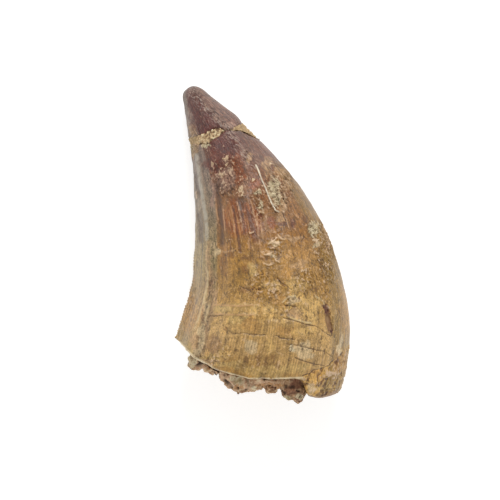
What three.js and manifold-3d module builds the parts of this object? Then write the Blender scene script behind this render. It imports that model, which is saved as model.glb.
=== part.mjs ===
// A fossil mosasaur tooth that lies on its flatter side, tip towards +Y.
// Millimetres. X runs across the crown from its cutting edge (-X) to its round
// back (+X), Y from the base to the tip, and Z up from what the tooth lies on.

import * as THREE from 'three';
import { ImprovedNoise } from 'three/addons/math/ImprovedNoise.js';
import { mergeVertices } from 'three/addons/utils/BufferGeometryUtils.js';
import Module from 'manifold-3d';

const wasm = await Module();
wasm.setup();

// ---------------------------------------------------------------- driving dimensions

// The crown's two edges, from under the base to the tip. Points of the same
// place in both lists span the crown, so each pair is one cross-section.
const CUTTING_EDGE = [
  [-16.6, -20.5], [-15.6, -17], [-14.4, -13], [-12.95, -8.5], [-12.45, -3], [-12.25, 2.5],
  [-12.4, 8], [-12.7, 13], [-13.25, 17.5], [-13.8, 21.3], [-14.3, 24.4], [-14.5, 26.4],
  [-14.15, 27.5], [-12.7, 28.5],
];
const ROUND_EDGE = [
  [13.3, -29], [15.15, -22.2], [15.75, -15.7], [15.15, -10], [13.65, -4], [11.25, 2.2],
  [8, 8.3], [4.4, 13.3], [0.4, 17.7], [-3.55, 21.8], [-7.15, 25], [-9.9, 27.1],
  [-11.3, 28.1], [-12.7, 28.5],
];

// Thickness of a cross-section as a share of its width, and how it is parted
// into the bulging upper face and the flatter face that the tooth lies on.
const THICK_AT_BASE = 0.7;
const THICK_AT_TIP = 0.84;
const UPPER_SHARE = 0.57;

const TIP_LIFT = 2.6; // the tip curves up from the ground
const REST_WEAR = 0.16; // depth of the flat that is worn where the tooth rests
const CARINA_BEVEL = 0.72; // exponent of a face that runs out to the sharp edge
const ROUND_BACK = 0.5; // exponent of a face that rolls over the round edge

// Places across the crown: -1 is the cutting edge and 1 the round edge.
const SHOULDER = { at: -0.82, wide: 0.07, high: 0.05 };
const HOLLOW = { at: -0.65, wide: 0.1, high: -0.1 };
const MID_RIDGE = { at: 0.34, wide: 0.14, high: 0.055 };

// The edge of the enamel round the base, from the cutting edge to the patch of
// root cement, and on round the foot of that patch.
const LIP = [
  [-20, -12.8], [-15.7, -17.1], [-13.2, -19.6], [-11.7, -20.8], [-9.9, -21.7], [-8, -22.8],
  [-5.9, -23.3], [-2.5, -24.2], [3.2, -24.15], [6.9, -24.05], [7.3, -25.3], [7.2, -26.6],
  [8.4, -28.1], [9.6, -28], [11.4, -27.2], [13.2, -26.6], [14.4, -25.3], [20, -24],
];
const LIP_TILT = 0.2; // the lip climbs this much per millimetre towards the ground
const LIP_ROUGH = 0.4; // share of the crumbs' height that the broken wall shows
const LIP_POINTS = 28; // points along the lip
const LIP_STEPS = 10; // steps of the broken wall from front to back
const PATCH_TAPER = 0.16; // how fast the root cement narrows towards the ground
const MIDDLE = 9.5; // height of the cutting edge above the ground at the base
const PULP_RADIUS = 0.74; // share of a cross-section that the open base takes
const PULP_END = 0.17; // share of the tooth's length that the open base reaches

// Lower and upper face of the wafer that the tip is glued on with.
const BREAK_LOW = [
  [-20, 16.2], [-13.3, 17.1], [-11.2, 17.8], [-9.65, 18], [-8.2, 19.1], [-6.95, 19.85],
  [-5.6, 20.2], [-4.5, 20.25], [-3.4, 20], [-2, 19.3], [4, 16.3],
];
const BREAK_HIGH = [
  [-20, 19.8], [-13.6, 19.3], [-10.7, 19.5], [-8.6, 20.6], [-7, 20.5], [-5.6, 20.65],
  [-3.9, 21.9], [2, 26],
];

// Places where enamel has flaked off: an outline, and how far the skin is moved
// to give the floor of the scar.
const SCARS = [
  { // the long flake beside the mid ridge, deep at the ridge and fading out
    outline: [
      [-1.26, 13.4], [-0.43, 11.86], [0.65, 9.4], [1.58, 7.5], [2.66, 5.7], [4.4, 5.1],
      [6.3, 6.8], [6.7, 9.4], [5.2, 12.2], [2.4, 14], [0.3, 14.3],
    ],
    move: [0.7, 0.1, -0.45],
  },
  { // the broad spall above the base
    outline: [
      [3.6, -10.2], [6.6, -9.6], [9.2, -8.7], [10.7, -10.3], [11.3, -12], [11, -13.4],
      [11.7, -15.8], [9.5, -14.7], [7.2, -14.2], [3.4, -13.3],
    ],
    move: [0, 0, -0.28],
  },
  { // the narrow gouge at the edge of the spall
    outline: [
      [11.6, -11.5], [11, -13.2], [11.9, -16.1], [12.6, -15.8], [12.25, -12.9],
    ],
    move: [-0.2, 0, -1.1],
  },
];

const GAP = 0.3; // clearance left between neighbouring pieces

// The crumbly matrix: its foot from the cutting edge to the patch of root cement,
// and how much of a cross-section it takes, less beside the cutting edge.
const MATRIX_FOOT = [
  [-13.4, -20.9], [-12.6, -22], [-9.9, -22.7], [-8.4, -23.4], [-6.8, -24.8], [-4.8, -26.4],
  [-2.9, -26.4], [0.3, -25.5], [2.8, -25.3], [3.8, -27.4], [7, -28], [8.5, -26], [14, -22],
];
const MATRIX_RADIUS = 0.89;
const MATRIX_SHRINK = 0.09;
const CRUMB_WIDTH = 2.6;
const CRUMB_HEIGHT = 1.1;

// Knobs of matrix that stand clear of the rest: centre and radius.
const KNOBS = [
  { centre: [5.3, -26.3, 17.4], radius: 2.1 },
  { centre: [-12.1, -20.7, 12.4], radius: 1.3 },
  { centre: [-4.2, -25, 17.6], radius: 1.6 },
  { centre: [1.5, -25.4, 4.8], radius: 1.9 },
];

// ---------------------------------------------------------------- small helpers

const noise = new ImprovedNoise();

const bell = (x, spot) => spot.high * Math.exp(-(((x - spot.at) / spot.wide) ** 2));
const points2 = (list) => list.map(([x, y]) => new THREE.Vector2(x, y));
const cuttingEdge = new THREE.SplineCurve(points2(CUTTING_EDGE));
const roundEdge = new THREE.SplineCurve(points2(ROUND_EDGE));

// A manifold-3d solid from a closed three.js geometry.
function solid(geometry) {
  const plain = geometry.clone();
  plain.deleteAttribute('normal');
  plain.deleteAttribute('uv');
  const closed = mergeVertices(plain, 1e-4);
  const vertProperties = new Float32Array(closed.attributes.position.array);
  const triVerts = new Uint32Array(closed.index.array);
  return new wasm.Manifold(new wasm.Mesh({ numProp: 3, vertProperties, triVerts }));
}

// A sphere whose every point is moved by place(turn, down): turn runs round it
// from -X over +Z, and down from 0 at one pole to 1 at the other.
function formed(around, along, place) {
  const ball = new THREE.SphereGeometry(1, around, along);
  const spots = ball.attributes.position;
  const uv = ball.attributes.uv;
  const pole = 1e-9;
  for (let i = 0; i < spots.count; i += 1) {
    const down = 1 - uv.getY(i);
    const onPole = down < pole || down > 1 - pole;
    const turn = onPole ? 0 : (uv.getX(i) % 1) * 2 * Math.PI;
    const spot = place(turn, down);
    spots.setXYZ(i, spot.x, spot.y, spot.z);
  }
  return ball;
}

// A prism through the whole thickness of the tooth over an outline in X and Y.
function prism(outline, steps = 1) {
  const floor = -11;
  const top = 30;
  const shape = new THREE.Shape(points2(outline));
  const options = { depth: top - floor, steps, bevelEnabled: false, curveSegments: 1 };
  return new THREE.ExtrudeGeometry(shape, options).translate(0, 0, floor);
}

// Height of the rounded crumbs at one place, with sharp creases between them.
function crumb(x, y, z) {
  const lump = (width, shift) => Math.abs(noise.noise(x / width + shift, y / width, z / width));
  return CRUMB_HEIGHT * (1.6 * lump(CRUMB_WIDTH, 0) + 0.7 * lump(CRUMB_WIDTH / 2, 9) - 0.55);
}

// ---------------------------------------------------------------- the tooth's form

// Height of the upper face over a cross-section, 0 at both edges and about 1 between.
function upperFace(across, along) {
  const exponent = across < 0 ? CARINA_BEVEL : ROUND_BACK;
  const arch = Math.abs(1 - Math.abs(across) ** 2.4) ** exponent;
  const strip = 1 - THREE.MathUtils.smoothstep(along, 0.75, 0.97);
  const ridge = THREE.MathUtils.smoothstep(along, 0.33, 0.55);
  const relief = strip * (bell(across, SHOULDER) + bell(across, HOLLOW));
  return arch + relief + ridge * bell(across, MID_RIDGE);
}

// Depth of the face that the tooth lies on.
function lowerFace(across) {
  const exponent = across < 0 ? CARINA_BEVEL : ROUND_BACK;
  return Math.abs(1 - Math.abs(across) ** 2.8) ** exponent;
}

// The cross-section at one place along the tooth, 0 under the base and 1 at the tip.
function section(along) {
  const left = cuttingEdge.getPoint(along);
  const right = roundEdge.getPoint(along);
  const width = left.distanceTo(right);
  const thick = width * THREE.MathUtils.lerp(THICK_AT_BASE, THICK_AT_TIP, along);
  const below = thick * (1 - UPPER_SHARE);
  const lift = TIP_LIFT * THREE.MathUtils.smoothstep(along, 0.4, 1);
  return { left, right, above: thick * UPPER_SHARE, below, level: below + lift - REST_WEAR };
}

// A point of the tooth's skin, or of a smaller skin inside it.
function skinAt(turn, along, radius = 1) {
  const { left, right, above, below, level } = section(along);
  const across = -Math.cos(turn);
  const upper = turn < Math.PI;
  const rise = upper ? above * upperFace(across, along) : -below * lowerFace(across);
  const share = (1 + across * radius) / 2;
  const x = THREE.MathUtils.lerp(left.x, right.x, share);
  const y = THREE.MathUtils.lerp(left.y, right.y, share);
  return new THREE.Vector3(x, y, level + rise * radius);
}

// A closed body of the tooth's form, from the place low to the place high along
// it. Its lower end is closed by a disc, its upper end by the tip or a dome.
const DISC_SHARE = 0.06;
const ROW_SPREAD = 0.78; // rows are wider apart towards the tip
function toothBody(around, rows, low, high, radiusAt) {
  return formed(around, rows, (turn, down) => {
    const side = Math.min(1, down / (1 - DISC_SHARE));
    const disc = Math.min(1, (1 - down) / DISC_SHARE);
    const along = THREE.MathUtils.lerp(high, low, side ** ROW_SPREAD);
    return skinAt(turn, along, radiusAt(side) * disc);
  });
}

const wholeTooth = toothBody(54, 41, 0, 1, () => 1);

// The radius of a body with a rounded upper end.
const domed = (side, radius) => radius * Math.min(1, Math.sqrt(side * 5));

// ---------------------------------------------------------------- the cuts

// Everything that is missing under the lip, moved away from it by a clearance. The
// broken wall behind the lip is rough, and the patch of root cement narrows
// towards the ground.
function underLip(clearance) {
  const lip = new THREE.Path(points2(LIP)).getSpacedPoints(LIP_POINTS);
  const outline = [...lip.map(({ x, y }) => [x, y]), [20, -36], [-20, -36]];
  const block = prism(outline, LIP_STEPS);
  const spots = block.attributes.position;
  for (let i = 0; i < spots.count; i += 1) {
    const spot = new THREE.Vector3().fromBufferAttribute(spots, i);
    const hidden = Math.max(0, MIDDLE - spot.z);
    const patch = THREE.MathUtils.smoothstep(spot.x, 5, 7) * Math.max(0, 19 - spot.z);
    const rough = LIP_ROUGH * crumb(spot.x + 40, 0, spot.z);
    spots.setX(i, spot.x + patch * PATCH_TAPER - clearance * 0.6);
    spots.setY(i, spot.y + hidden * LIP_TILT + rough - clearance);
  }
  return solid(block);
}

// Everything on the tip's side of a face of the break.
function beyond(face, shift) {
  const outline = face.map(([x, y]) => [x, y + shift]);
  outline.unshift([-20, 34]);
  outline.push([face.at(-1)[0], 34]);
  return solid(prism(outline.reverse()));
}

const ground = solid(new THREE.BoxGeometry(60, 80, 20).translate(0, 0, -10));
const whole = solid(wholeTooth).subtract(ground);

// ---------------------------------------------------------------- the pieces

function makeCrown() {
  const pulp = solid(toothBody(32, 12, 0, PULP_END, (side) => domed(side, PULP_RADIUS)));
  let crown = whole.subtract(beyond(BREAK_LOW, -GAP)).subtract(underLip(0)).subtract(pulp);
  for (const { outline, move } of SCARS) {
    const floor = solid(wholeTooth.clone().translate(...move));
    crown = crown.subtract(solid(prism(outline.toReversed())).subtract(floor));
  }
  return crown;
}

function makeTip() {
  return whole.intersect(beyond(BREAK_HIGH, GAP));
}

function makeFiller() {
  return whole.intersect(beyond(BREAK_LOW, 0)).subtract(beyond(BREAK_HIGH, 0));
}

// The height of a line of points over one place across the tooth.
function lineAt(line, x) {
  const next = Math.max(1, line.findIndex((point) => point[0] > x));
  const [x0, y0] = line[next - 1];
  const [x1, y1] = line[next];
  return THREE.MathUtils.mapLinear(x, x0, x1, y0, y1);
}

// The stub of matrix under the lip: a drum with the outline of the base.
function stubBody(around, rows) {
  const foot = 0.45; // share of the rows that close the foot
  const climb = 5; // how far the drum reaches up inside the lip
  return formed(around, rows, (turn, down) => {
    const side = Math.min(1, down / (1 - foot));
    const disc = Math.min(1, (1 - down) / foot);
    const bare = MATRIX_RADIUS - MATRIX_SHRINK * Math.max(0, Math.cos(turn));
    const spot = skinAt(turn, 0.02, bare * Math.sqrt(disc) * Math.min(1, Math.sqrt(side * 4)));
    const hidden = Math.max(0, MIDDLE - spot.z);
    const low = lineAt(MATRIX_FOOT, spot.x) + hidden * LIP_TILT;
    spot.y = THREE.MathUtils.lerp(low + climb, low, side);
    const rise = crumb(spot.x, spot.y, spot.z);
    const rim = skinAt(turn, 0.02, 1).sub(skinAt(turn, 0.02, 0)).setY(0).normalize();
    spot.addScaledVector(rim, rise * 0.6 * side * disc ** 8);
    spot.y -= rise * side;
    return spot;
  });
}

function makeMatrix() {
  const plugRadius = PULP_RADIUS - 0.035;
  const plug = solid(toothBody(24, 9, 0.02, PULP_END - 0.012, (side) => domed(side, plugRadius)));
  let stub = solid(stubBody(46, 26));
  for (const { centre, radius } of KNOBS) {
    const knob = new THREE.IcosahedronGeometry(radius, 2).translate(...centre);
    const middle = new THREE.Vector3(...centre);
    const spots = knob.attributes.position;
    for (let i = 0; i < spots.count; i += 1) {
      const spot = new THREE.Vector3().fromBufferAttribute(spots, i);
      const out = spot.clone().sub(middle).normalize();
      spot.addScaledVector(out, crumb(spot.x * 1.4, spot.y * 1.4, spot.z * 1.4));
      spots.setXYZ(i, spot.x, spot.y, spot.z);
    }
    stub = stub.add(solid(knob));
  }
  return stub.intersect(underLip(GAP)).add(plug).subtract(ground);
}

// ---------------------------------------------------------------- the group

// A node from a solid. Chips that a cut has left loose fall away.
function named(name, body, color, roughness) {
  const parts = body.decompose();
  const main = parts.reduce((most, part) => (part.volume() > most.volume() ? part : most));
  const { vertProperties, triVerts } = main.getMesh();
  const geometry = new THREE.BufferGeometry();
  geometry.setAttribute('position', new THREE.BufferAttribute(vertProperties, 3));
  geometry.setIndex(new THREE.BufferAttribute(triVerts, 1));
  geometry.computeVertexNormals();
  const material = new THREE.MeshStandardMaterial({ color, roughness, metalness: 0 });
  const mesh = new THREE.Mesh(geometry, material);
  mesh.name = name;
  return mesh;
}

const tooth = new THREE.Group();
tooth.add(
  named('crown', makeCrown(), 0x9a7a52, 0.45),
  named('crown_tip', makeTip(), 0x765a50, 0.4),
  named('break_filler', makeFiller(), 0xb59b70, 0.95),
  named('base_matrix', makeMatrix(), 0x70503a, 0.95),
);

// The origin is under the middle of the tooth, on what it lies on.
const box = new THREE.Box3().setFromObject(tooth);
const middle = box.getCenter(new THREE.Vector3());
tooth.position.set(-middle.x, -middle.y, -box.min.z);

export default tooth;
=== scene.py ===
# %% [markdown]
# # A fossil mosasaur tooth
#
# The tooth is a curved cone of enamel over dentine. One edge is sharp and finely
# serrated (the carina), the other is round. Its tip was broken off and glued
# back with sand, and its base is a ragged end of root bone and phosphate sand.
#
# The frame gives the right sizes with plain surfaces. This lesson takes a copy of
# each of its four solids, nets it finely, and carves into it what makes a fossil
# worth looking at: growth striae, pits, flakes, cracks and crusts of sand.

# %% Load the frame
import math

import bmesh
import bpy
import numpy as np
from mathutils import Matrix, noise


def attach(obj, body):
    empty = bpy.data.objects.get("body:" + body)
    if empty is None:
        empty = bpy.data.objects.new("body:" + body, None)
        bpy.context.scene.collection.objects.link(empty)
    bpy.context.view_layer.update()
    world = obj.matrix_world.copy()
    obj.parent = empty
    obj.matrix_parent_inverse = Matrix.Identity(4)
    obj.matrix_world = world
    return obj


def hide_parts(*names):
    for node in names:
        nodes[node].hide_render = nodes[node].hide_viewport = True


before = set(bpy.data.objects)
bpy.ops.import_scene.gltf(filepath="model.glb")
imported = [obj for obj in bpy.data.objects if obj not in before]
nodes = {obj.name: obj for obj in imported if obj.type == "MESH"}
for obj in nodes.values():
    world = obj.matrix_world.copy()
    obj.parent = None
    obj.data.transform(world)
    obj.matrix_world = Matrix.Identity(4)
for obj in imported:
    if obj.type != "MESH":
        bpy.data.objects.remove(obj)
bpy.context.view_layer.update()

MM = 0.001  # everything below is thought out in millimetres and drawn in metres
print("solids:", ", ".join(sorted(nodes)))

# %% [markdown]
# ## The tooth's own map
#
# Every mark on a tooth follows its growth: striae run from base to tip, and the
# carina's flank is a strip along one edge. So the first thing to make is a map
# that says, for any point, how far along the tooth and how far across it lies.
# The two edges are smooth curves through paired points, as in the frame's own
# source, and a point's place is found by halving the stretch that it can lie in.

# %% The two edges and the form between them
CUTTING_EDGE = np.array([
    (-16.6, -20.5), (-15.6, -17), (-14.4, -13), (-12.95, -8.5), (-12.45, -3), (-12.25, 2.5),
    (-12.4, 8), (-12.7, 13), (-13.25, 17.5), (-13.8, 21.3), (-14.3, 24.4), (-14.5, 26.4),
    (-14.15, 27.5), (-12.7, 28.5),
])
ROUND_EDGE = np.array([
    (13.3, -29), (15.15, -22.2), (15.75, -15.7), (15.15, -10), (13.65, -4), (11.25, 2.2),
    (8, 8.3), (4.4, 13.3), (0.4, 17.7), (-3.55, 21.8), (-7.15, 25), (-9.9, 27.1),
    (-11.3, 28.1), (-12.7, 28.5),
])


def along_curve(points, t):
    """Places on a smooth curve through evenly counted points, for t from 0 to 1."""
    last = len(points) - 1
    place = np.clip(t, 0, 1) * last
    i = np.minimum(place.astype(int), last - 1)
    w = (place - i)[:, None]
    p0, p1 = points[np.maximum(i - 1, 0)], points[i]
    p2, p3 = points[i + 1], points[np.minimum(i + 2, last)]
    slope1, slope2 = (p2 - p0) / 2, (p3 - p1) / 2
    cubic = (2 * (p1 - p2) + slope1 + slope2) * w ** 3
    square = (3 * (p2 - p1) - 2 * slope1 - slope2) * w ** 2
    return cubic + square + slope1 * w + p1


def smooth(value, low, high):
    """0 below low, 1 above high, and an easy curve between them."""
    w = np.clip((value - low) / (high - low), 0, 1)
    return w * w * (3 - 2 * w)


def bell(x, at, wide):
    return np.exp(-(((x - at) / wide) ** 2))


# %% Where a point lies on the tooth
SAMPLES = np.linspace(0, 1, 200)
middle_line = (along_curve(CUTTING_EDGE, SAMPLES) + along_curve(ROUND_EDGE, SAMPLES)) / 2
steps = np.linalg.norm(np.diff(middle_line, axis=0), axis=1)
MIDDLE_LENGTH = np.concatenate([[0], np.cumsum(steps)])
GIRTH_RADIUS = 11.0  # the crown's mean radius, which turns an angle into millimetres


def tooth_place(co):
    """A dict of how each point lies on the tooth: along, across, depth, turn and length."""
    low, high = np.zeros(len(co)), np.ones(len(co))
    for _ in range(18):
        t = (low + high) / 2
        left, right = along_curve(CUTTING_EDGE, t), along_curve(ROUND_EDGE, t)
        span, reach = right - left, co[:, :2] - left
        beyond = span[:, 0] * reach[:, 1] - span[:, 1] * reach[:, 0] > 0
        low, high = np.where(beyond, t, low), np.where(beyond, high, t)
    width = np.linalg.norm(span, axis=1)
    across = 2 * (span * reach).sum(1) / np.maximum(width, 1e-6) ** 2 - 1
    thick = width * (0.7 + 0.14 * t)
    level = thick * 0.43 + 2.6 * smooth(t, 0.4, 1) - 0.16
    inside = np.clip(np.abs(across), 0, 1)
    bevel = np.where(across < 0, 0.72, 0.5)
    upper = (1 - inside ** 2.4) ** bevel
    strip = 1 - smooth(t, 0.75, 0.97)
    upper += strip * (0.05 * bell(across, -0.82, 0.07) - 0.1 * bell(across, -0.65, 0.1))
    upper += smooth(t, 0.33, 0.55) * 0.055 * bell(across, 0.34, 0.14)
    lower = (1 - inside ** 2.8) ** bevel
    top, bottom = level + thick * 0.57 * upper, level - thick * 0.43 * lower
    above = co[:, 2] - level
    depth = np.minimum(np.where(above > 0, top - co[:, 2], co[:, 2] - bottom),
                       (1 - np.abs(across)) * width / 2)
    turn = np.arctan2(above / np.maximum(thick / 2, 0.2), across)
    return {"along": t, "across": across, "depth": depth, "turn": turn, "above": above,
            "length": np.interp(t, SAMPLES, MIDDLE_LENGTH)}


print("middle line is", round(float(MIDDLE_LENGTH[-1]), 1), "mm long")

# %% [markdown]
# ## A fine net over each solid
#
# A carving needs a skin with an even net of faces much smaller than the marks on
# it. Subdividing the solid would keep its long thin triangles, so the copy is
# merged and then wrapped in a voxel net, with faces of a quarter of a millimetre
# or less. The net's small steps are rubbed out before anything is carved.

# %% Copy, net, relax


def put(name, data):
    """A new object in the scene."""
    thing = bpy.data.objects.new(name, data)
    bpy.context.scene.collection.objects.link(thing)
    return thing


def coordinates(mesh):
    co = np.empty(len(mesh.vertices) * 3)
    mesh.vertices.foreach_get("co", co)
    return co.reshape(-1, 3) / MM


def normals_of(mesh):
    normals = np.empty(len(mesh.vertices) * 3)
    mesh.vertex_normals.foreach_get("vector", normals)
    return normals.reshape(-1, 3)


def place_vertices(mesh, co):
    mesh.vertices.foreach_set("co", (co * MM).ravel())
    mesh.update()


def settle(piece):
    """Turns a piece's modifiers into its own mesh."""
    depsgraph = bpy.context.evaluated_depsgraph_get()
    mesh = bpy.data.meshes.new_from_object(piece.evaluated_get(depsgraph))
    mesh.name = piece.name
    piece.modifiers.clear()
    piece.data = mesh


def fine_copy(node, name, voxel):
    """A copy of a solid whose skin is one even net, with faces about voxel mm wide."""
    mesh = nodes[node].data.copy()
    mesh.materials.clear()
    work = bmesh.new()
    work.from_mesh(mesh)
    bmesh.ops.remove_doubles(work, verts=work.verts, dist=0.001 * MM)
    work.to_mesh(mesh)
    work.free()
    piece = put(name, mesh)
    net = piece.modifiers.new("net", "REMESH")
    net.mode = "VOXEL"
    net.voxel_size = voxel * MM
    settle(piece)
    return piece


def near_mean(mesh, values):
    """For each point, the mean of a three-part value over its neighbours."""
    ends = np.empty(len(mesh.edges) * 2, int)
    mesh.edges.foreach_get("vertices", ends)
    here, there = ends[0::2], ends[1::2]
    count = np.bincount(ends, minlength=len(values))
    total = np.empty_like(values)
    for axis in range(3):
        part = values[:, axis]
        total[:, axis] = np.bincount(here, part[there], len(values))
        total[:, axis] += np.bincount(there, part[here], len(values))
    return total / count[:, None]


def creases(mesh):
    """1 on sharp edges and 0 on smooth skin, from how much the normals there disagree."""
    lean = near_mean(mesh, near_mean(mesh, normals_of(mesh)))
    return smooth(1 - np.linalg.norm(lean, axis=1), 0.015, 0.06)


def relax(piece, rounds, hold=0.0):
    """Moves each point towards the middle of its neighbours; hold from 0 to 1 keeps it."""
    co = coordinates(piece.data)
    free = np.broadcast_to(0.5 * (1 - np.asarray(hold)), len(co))[:, None]
    for _ in range(rounds):
        co += (near_mean(piece.data, co) - co) * free
    place_vertices(piece.data, co)


def refine(piece, near):
    """Halves the faces whose points near() picks."""
    chosen = near(coordinates(piece.data))
    work = bmesh.new()
    work.from_mesh(piece.data)
    work.verts.ensure_lookup_table()
    edges = [e for e in work.edges if chosen[e.verts[0].index] and chosen[e.verts[1].index]]
    bmesh.ops.subdivide_edges(work, edges=edges, cuts=1, use_grid_fill=True)
    bmesh.ops.triangulate(work, faces=[f for f in work.faces if len(f.verts) > 4])
    work.to_mesh(piece.data)
    work.free()


def carve(piece, height):
    """Moves each point out along its normal by height, in mm."""
    mesh = piece.data
    place_vertices(mesh, coordinates(mesh) + normals_of(mesh) * height[:, None])


def measure(piece):
    triangles = sum(len(face.vertices) - 2 for face in piece.data.polygons)
    print(piece.name, "has", triangles, "triangles")


# %% [markdown]
# ## Noise and distances
#
# Two natural patterns do most of the work. Lattice noise gives soft swellings and,
# when it is stretched along the tooth, striae. Cell noise gives the distance to
# the nearest of many scattered seeds, which is a pit or a grain. A mark that has
# a place of its own is a line or an oval on the upper face, frayed by noise.

# %% Patterns


def swell(co, size, shift=0.0):
    """Soft noise from -1 to 1 with lumps about size mm wide."""
    return np.array([noise.noise(p) for p in (co / size + shift).tolist()])


def cells(co, size, shift=0.0):
    """Distance to the nearest seed, about 0 to 1, for seeds about size mm apart."""
    spots = (co / size + shift).tolist()
    return np.array([noise.voronoi(p, distance_metric="DISTANCE")[0][0] for p in spots])


def growth(place):
    """Points on a straight drum: the tooth unrolled, so patterns can follow its growth."""
    return np.column_stack([np.cos(place["turn"]) * GIRTH_RADIUS,
                            np.sin(place["turn"]) * GIRTH_RADIUS, place["length"]])


def frayed(co, amount, size=1.6):
    """Places pushed about by noise, so that a mark drawn on them has a natural outline."""
    moved = co.copy()
    moved[:, 0] += amount * (swell(co, size, 11) + 0.5 * swell(co, size / 3, 12))
    moved[:, 1] += amount * (swell(co, size, 23) + 0.5 * swell(co, size / 3, 24))
    return moved


def line_distance(co, line):
    """Distance in X and Y from each point to a line of points."""
    best = np.full(len(co), 99.0)
    line = np.array(line, float)
    for a, b in zip(line[:-1], line[1:]):
        reach, run = co[:, :2] - a, b - a
        w = np.clip((reach @ run) / (run @ run), 0, 1)[:, None]
        best = np.minimum(best, np.linalg.norm(reach - w * run, axis=1))
    return best


def ovals(co, marks):
    """1 at the middle of each mark (x, y, half width, half height), 0.5 at its rim."""
    best = np.zeros(len(co))
    for x, y, wide, high in marks:
        far = np.hypot((co[:, 0] - x) / wide, (co[:, 1] - y) / high)
        best = np.maximum(best, 1 - far / 2)
    return best


# %% [markdown]
# ## The marks of this tooth
#
# These are the places on the upper face where something happened to the tooth:
# cracks that opened as it dried in the ground, a flake that sprang off along the
# middle ridge, a spall above the base, crusts of the sand that buried it, and
# stains; the carina's shoulders, where a highlight is painted, are lines too. Each
# is a short line or an oval, in millimetres.

# %% Lines
LIP = np.array([
    (-20, -12.8), (-15.7, -17.1), (-13.2, -19.6), (-11.7, -20.8), (-9.9, -21.7), (-8, -22.8),
    (-5.9, -23.3), (-2.5, -24.2), (3.2, -24.15), (6.9, -24.05),
])
STROKES = {
    "crack": [
        [(-9.6, -12.9), (-8.6, -12.95), (-7.1, -12.85)],
        [(-5.8, -15.75), (-5.2, -16.05), (-4.4, -15.9), (-3.4, -15.8), (-2.4, -16.1), (0.4, -16.15)],
        [(2.2, -16.2), (3, -16.7), (5.6, -17)],
        [(3.6, -13.2), (5.6, -13.7), (7.3, -14.3), (9.5, -14.7), (10.4, -15.4), (12.1, -16.5)],
        [(4.1, -17.8), (5.5, -17.9), (7, -18.3), (8.9, -18.8), (10.9, -19.2), (12.2, -20.1)],
        [(5.7, -20.2), (6.5, -20.6), (8, -21.1), (9, -21.4), (10.8, -21.7)],
        [(12.8, -20.6), (11.7, -21.7), (10.5, -22.2), (8.8, -22.5), (8.2, -23.1), (6.9, -23.4)],
        [(2.6, -6.1), (3.1, -6.9), (3.8, -7.3), (5, -8.2)],
        [(3.8, -10.9), (5, -11.1), (6, -11.3), (6.7, -12.2), (7.2, -12.3)],
        [(-4.3, -7.5), (-3.2, -8), (-2.1, -8.5)],
        [(7.3, 1.1), (6.8, 0.4), (6.8, -0.7)],
        [(8.9, -18.6), (8.9, -19.2)],
        [(10.9, -18.9), (11, -19.7)],
        [(3.5, 5.4), (3.8, 4.6), (4.4, 3)],
        [(2, -1.2), (3.1, -1.7)],
        [(2.9, 0.5), (3.2, 0.1)],
        [(8, -24.2), (7.9, -25.1)],
        [(7.8, -24.3), (7.7, -24.9)],
        [(11.3, -12.6), (11.6, -13.8), (12.1, -15.2), (12.3, -16.4)],
        [(9.4, -27.4), (10.2, -26.4), (11.4, -26), (12.6, -25.9), (13.8, -26.2)],
    ],
    "shade": [
        [(-8.2, 11), (-8.1, 9), (-7.9, 7.5), (-7.7, 5), (-7.5, 3), (-7.4, 0)],
        [(-12.2, 12.4), (-11.9, 10.4), (-11.4, 8.8)],
        [(-11.6, 5.2), (-11.2, 3.2), (-11.2, 0.5)],
        [(-4, 7.8), (-3.8, 6.4)],
    ],
    "gold": [
        [(-7.2, 6.7), (-7, 4.5), (-6.8, 2.4)],
        [(-5.7, 6.6), (-5.35, 4.5), (-5.1, 2)],
        [(-4.6, 7.4), (-4.1, 5), (-3.8, 3.8), (-3.7, 2.4)],
        [(-2.4, 7.8), (-1.9, 6.6), (-1.5, 4.6), (-1.1, 3)],
        [(-1.1, 5.2), (-1, 3.5), (-0.9, 1.8), (-0.6, 0), (-0.4, -2.4)],
        [(-0.4, 4.5), (-0.3, 2.5), (0.1, 0.5), (0.2, -0.6)],
        [(4.1, 4.3), (4.5, 3.2), (4.8, 2.3)],
        [(-8.5, 7), (-8.2, 5), (-8, 3.4)],
        [(-2.6, 0.6), (-2.5, -1)],
        [(-8.6, -11), (-5, -11.1), (-1.5, -11)],
        [(-8.6, -12.6), (-4.4, -12.7), (-1.5, -12.7)],
    ],
    "fold": [
        [(0.9, -0.2), (1.6, 0.2), (2.2, 0), (3, -0.4)],
        [(1.8, 0.3), (2.4, 1)],
        [(0.3, -2), (1.1, -2), (1.7, -1.5)],
        [(1.8, -2.4), (2.3, -2.7), (2.2, -3), (2.9, -3.4)],
        [(2.6, 1.5), (3.2, 0.8), (3.8, 0.6)],
        [(0.2, -3.6), (0.9, -3.9), (1.7, -3.7)],
        [(-2.3, 1.8), (-1.7, 2)],
        [(-12, 9.3), (-11.9, 8.2)],
        [(-0.8, 5.3), (-0.4, 5.6), (0, 5.3)],
    ],
    "ledge": [[(-1.4, 13.8), (-0.9, 12.9), (-0.2, 11.2), (0.6, 9.4), (1.4, 7.3), (2.2, 5.9), (2.8, 5.6)]],
    # the carina's shoulder, raised a little and painted with a highlight
    "shoulder": [
        [(-11.9, 16), (-11.6, 14), (-11.2, 11), (-10.9, 9), (-10.6, 7), (-10.3, 5),
         (-10.1, 3), (-10, 0.8)],
    ],
    # the first line runs down the carina's lower shoulder, where a highlight is painted; the others are
    # spalls
    "spall_and_highlight": [
        [(-9.9, -4), (-9.8, -7.5), (-10.6, -10.5), (-11.3, -13), (-12.2, -15.2)],
        [(3.4, -10.4), (4.4, -9.5), (5.6, -9.3)],
        [(9.2, -9.4), (10.7, -10.3), (11.3, -12)],
        [(4.4, -13), (5.6, -13.5), (7.4, -14), (8.4, -14.2)],
    ],
    "gouge": [
        [(11.1, -11.1), (11.35, -12.2), (11.55, -13.3), (11.8, -14.6), (12.1, -15.6)],
    ],
    "lip": [LIP + (0, 0.22)],
}
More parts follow.
